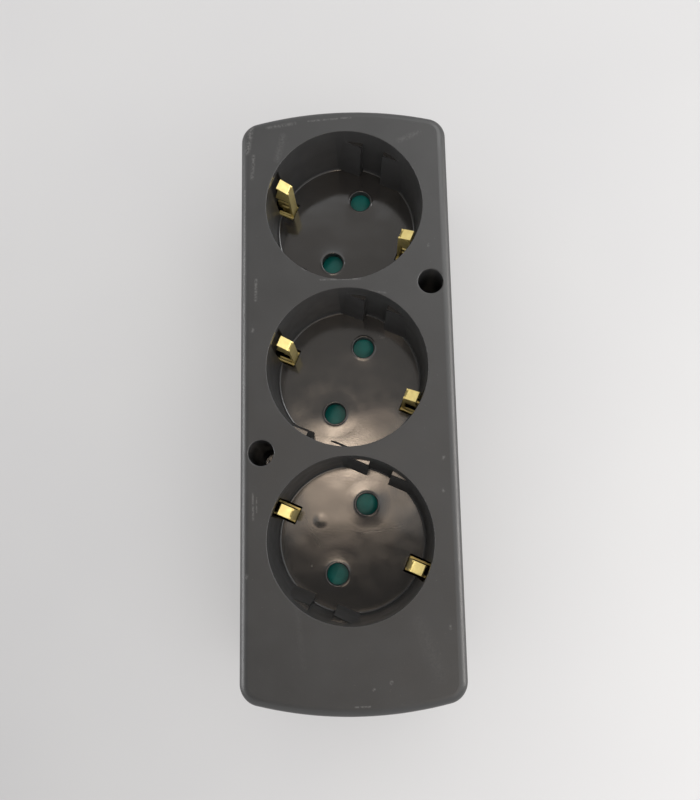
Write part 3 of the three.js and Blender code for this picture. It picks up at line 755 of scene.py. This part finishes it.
FLOOR_MARKS = (
    (2.5, -32.6, 7.0, -32.2, 0.22, 0.6), (7.0, -32.2, 13.0, -31.0, 0.16, 0.5),
    (8.2, 18.3, 9.2, 18.0, 0.5, 0.4), (-10.4, -40.5, -10.3, -40.2, 0.35, 0.9),
    (-12.6, -27.0, -8.0, -36.0, 0.1, 0.25), (-3.0, -8.0, 1.5, -10.0, 0.12, 0.3),
)

paints = {
    "housing": shell_paint("face_plastic", (0.038, 0.0375, 0.037), 0.41, 0.012, FACE_WEAR_AND_HIGHLIGHTS),
    "cover": shell_paint("cover_plastic", (0.045, 0.045, 0.045), 0.55, 0.014),
    "shutter": shutter_paint(),
    "contact": metal_paint("brass", (0.86, 0.70, 0.27), (0.72, 0.56, 0.20), 0.30, 0.42, BRASS_METAL),
    "steel": metal_paint("plated_steel", (0.62, 0.62, 0.64), (0.48, 0.48, 0.47), 0.25, 0.4, WHOLE_METAL),
    "clamp": shell_paint("clamp_plastic", (0.05, 0.05, 0.05), 0.5, 0.012),
}

shown = {"front_housing": housing, "rear_cover": back_shell}
shown.update({f"earth_bracket_{i + 1}": piece for i, piece in enumerate(earth_clips)})
shown.update({f"shutter_{i + 1}": piece for i, piece in enumerate(shutter_plates)})
shown.update({f"housing_screw_{i + 1}": piece for i, piece in enumerate(face_screws)})
shown.update({f"shutter_spring_{i + 1}": piece for i, piece in enumerate(springs)})
for node, slot in slots.items():
    piece = shown.get(node, frame["nodes"][node])
    piece.data.materials.clear()
    piece.data.materials.append(paints[slot])

# The recesses and wells have their own paints: glossy floors darker than the face plastic, and duller
# walls and wells painted lighter than it, as painted light in their shade
RECESS_REACH = 21.5 * MM
FLOOR_LEAN = math.cos(math.radians(14))
FLOOR_INDEX = 1
WALL_INDEX = 2
floor_finish = recess_paint("recess_floor", (0.023, 0.0205, 0.0185), (0.030, 0.027, 0.0245),
                            0.09, 0.15, 1.0, 0.07)
# The walls' and wells' tone is raised above the face plastic's as painted light
wall_finish_and_painted_light = recess_paint("recess_wall", (0.046, 0.045, 0.045), (0.054, 0.053, 0.053),
                           0.34, 0.44, 0.22, 0.03)
housing.data.materials.append(floor_finish)
housing.data.materials.append(wall_finish_and_painted_light)
hollows = [(centre.xy, RECESS_REACH) for centre in socket_centres]
hollows += [(centre.xy, WELL_RADIUS + WELL_ROUND) for centre in well_centres]
for polygon in housing.data.polygons:
    middle = polygon.center
    inside = any((middle.xy - centre).length < reach for centre, reach in hollows)
    if inside and seam_level + OVERRUN < middle.z < face_level - RIM_ROUND:
        polygon.material_index = FLOOR_INDEX if polygon.normal.z > FLOOR_LEAN else WALL_INDEX


# Floor, light and reflections, in metres

FLOOR_REACH = 4.0
FLOOR_GLOW = 0.30
GLOW_HALF_WIDTH = 120
GLOW_NEAR = (-120, 0.18)
GLOW_FAR = (110, 0.03)
KEY_PLACE = Vector((0.55, -0.50, 0.95))
KEY_SIZE = 0.9
KEY_POWER = 2.4
WORLD_STRENGTH = 0.92
CARD_LEVEL = 1.2
LAMP_LEVEL = 1.19
SIDE_CARD_REACH = (-0.35, 0.35)
WINDOW_TONE = (1.0, 0.80, 0.62)
DIM_TONE = (1.0, 0.95, 0.90)
RIGHT_TONE = (1.0, 0.97, 0.94)
WHITE = (1.0, 1.0, 1.0)


def rectangle(low, high):
    return [(low[0], low[1]), (high[0], low[1]), (high[0], high[1]), (low[0], high[1])]


def level_card(low, high, level):
    """Corners of a level card."""
    return [(x, y, level) for x, y in rectangle(low, high)]


def side_card(x, levels):
    """Corners of an upright card that faces along X."""
    near, far = SIDE_CARD_REACH
    return [(x, y, z) for y, z in rectangle((near, levels[0]), (far, levels[1]))]


def card_from(name, corners):
    return new_object(name, mesh_from(name, corners, [(0, 1, 2, 3)]))


def make_floor():
    """A pale table top. Its own glow is painted light for the background alone, brighter to the right,
    most of all at the near end.
    """
    floor = card_from("floor", level_card((-FLOOR_REACH, -FLOOR_REACH), (FLOOR_REACH, FLOOR_REACH), 0))
    paint = Paint("pale_table")
    colour = paint.mixed(paint.varied(60, 2), (0.385, 0.38, 0.385), (0.405, 0.40, 0.40))
    rays = paint.node("ShaderNodeLightPath")
    axes = paint.node("ShaderNodeSeparateXYZ")
    paint.link(paint.place, axes.inputs[0])
    across = paint.between(axes.outputs["X"], -GLOW_HALF_WIDTH, GLOW_HALF_WIDTH, -1.0, 1.0)
    reach = paint.between(axes.outputs["Y"], GLOW_NEAR[0], GLOW_FAR[0], GLOW_NEAR[1], GLOW_FAR[1])
    glow = paint.math("ADD", paint.math("MULTIPLY", across, reach), FLOOR_GLOW)
    seen = paint.math("MAXIMUM", rays.outputs["Is Camera Ray"], rays.outputs["Is Glossy Ray"])
    seen = paint.math("MAXIMUM", seen, rays.outputs["Is Transmission Ray"])
    paint.link(paint.math("MULTIPLY", seen, glow), paint.shader.inputs["Emission Strength"])
    paint.shader.inputs["Emission Color"].default_value = (1.0, 0.985, 0.97, 1)
    floor.data.materials.append(paint.finish(colour, 0.6))


def reflection_card(name, corners, colour, strength):
    """A card that only glossy rays see, so that it adds no light to the object."""
    card = card_from(name, corners)
    material = bpy.data.materials.new(name)
    material.use_nodes = True
    tree = material.node_tree
    tree.nodes.clear()
    output = tree.nodes.new("ShaderNodeOutputMaterial")
    glow = tree.nodes.new("ShaderNodeEmission")
    glow.inputs["Color"].default_value = (*colour, 1)
    glow.inputs["Strength"].default_value = strength
    tree.links.new(glow.outputs[0], output.inputs["Surface"])
    card.data.materials.append(material)
    card.visible_camera = False
    card.visible_diffuse = False
    card.visible_shadow = False
    card.visible_transmission = False
    card.visible_volume_scatter = False


def make_lights():
    """An even white surround and one soft lamp at the right."""
    world = bpy.context.scene.world or bpy.data.worlds.new("world")
    bpy.context.scene.world = world
    world.use_nodes = True
    background = world.node_tree.nodes["Background"]
    background.inputs["Color"].default_value = (*WHITE, 1)
    background.inputs["Strength"].default_value = WORLD_STRENGTH
    data = bpy.data.lights.new("key", "AREA")
    data.shape = "SQUARE"
    data.size = KEY_SIZE
    data.energy = KEY_POWER
    key = new_object("key", data)
    key.location = KEY_PLACE
    key.rotation_euler = (-KEY_PLACE).to_track_quat("-Z", "Y").to_euler()
    key.visible_camera = False


# What the glossy surfaces reflect, as (name, corners, colour, strength)
REFLECTIONS = (
    ("window_card", level_card((-0.123, -0.032), (0.052, 0.157), CARD_LEVEL), WINDOW_TONE, 3.2),
    ("lamp_card", level_card((-0.085, 0.075), (0.0, 0.125), LAMP_LEVEL), WINDOW_TONE, 14.0),
    ("dark_card", level_card((-1.6, -1.2), (0.35, -0.033), CARD_LEVEL), DIM_TONE, 0.13),
    ("dim_side", level_card((-1.6, -0.032), (-0.2, 0.5), CARD_LEVEL), DIM_TONE, 0.3),
    ("dim_middle", level_card((-0.2, 0.16), (0.25, 0.56), CARD_LEVEL), DIM_TONE, 0.5),
    ("tail_card", level_card((0.03, -0.8), (0.6, -0.23), LAMP_LEVEL), WINDOW_TONE, 1.5),
    ("bright_corner", level_card((0.3, 0.4), (1.6, 2.2), CARD_LEVEL), WHITE, 4.2),
    ("right_side", side_card(0.9, (0.05, 0.45)), RIGHT_TONE, 9.4),
    ("left_side", side_card(-0.9, (0.05, 0.40)), WHITE, 8.9),
)

make_floor()
make_lights()
for name, corners, colour, strength in REFLECTIONS:
    reflection_card(name, corners, colour, strength)

bpy.context.scene.view_settings.view_transform = "Standard"

# Camera, at the photograph's place
CAMERA_PLACE = Vector((5.17, -31.91, 223.17)) * MM
CAMERA_FORWARD = Vector((-0.0254, 0.1665, -0.9857))
CAMERA_UP = Vector((0.0237, 0.9858, 0.1664))
CAMERA_LENS = 34.82
CAMERA_SENSOR = 36


def make_camera():
    data = bpy.data.cameras.new("camera")
    data.lens = CAMERA_LENS
    data.sensor_width = CAMERA_SENSOR
    data.clip_start = 0.01
    camera = new_object("camera", data)
    back = -CAMERA_FORWARD.normalized()
    right = CAMERA_UP.cross(back).normalized()
    up = back.cross(right)
    turn = Matrix((right, up, back)).transposed().to_4x4()
    camera.matrix_world = Matrix.Translation(CAMERA_PLACE) @ turn
    bpy.context.scene.camera = camera


make_camera()
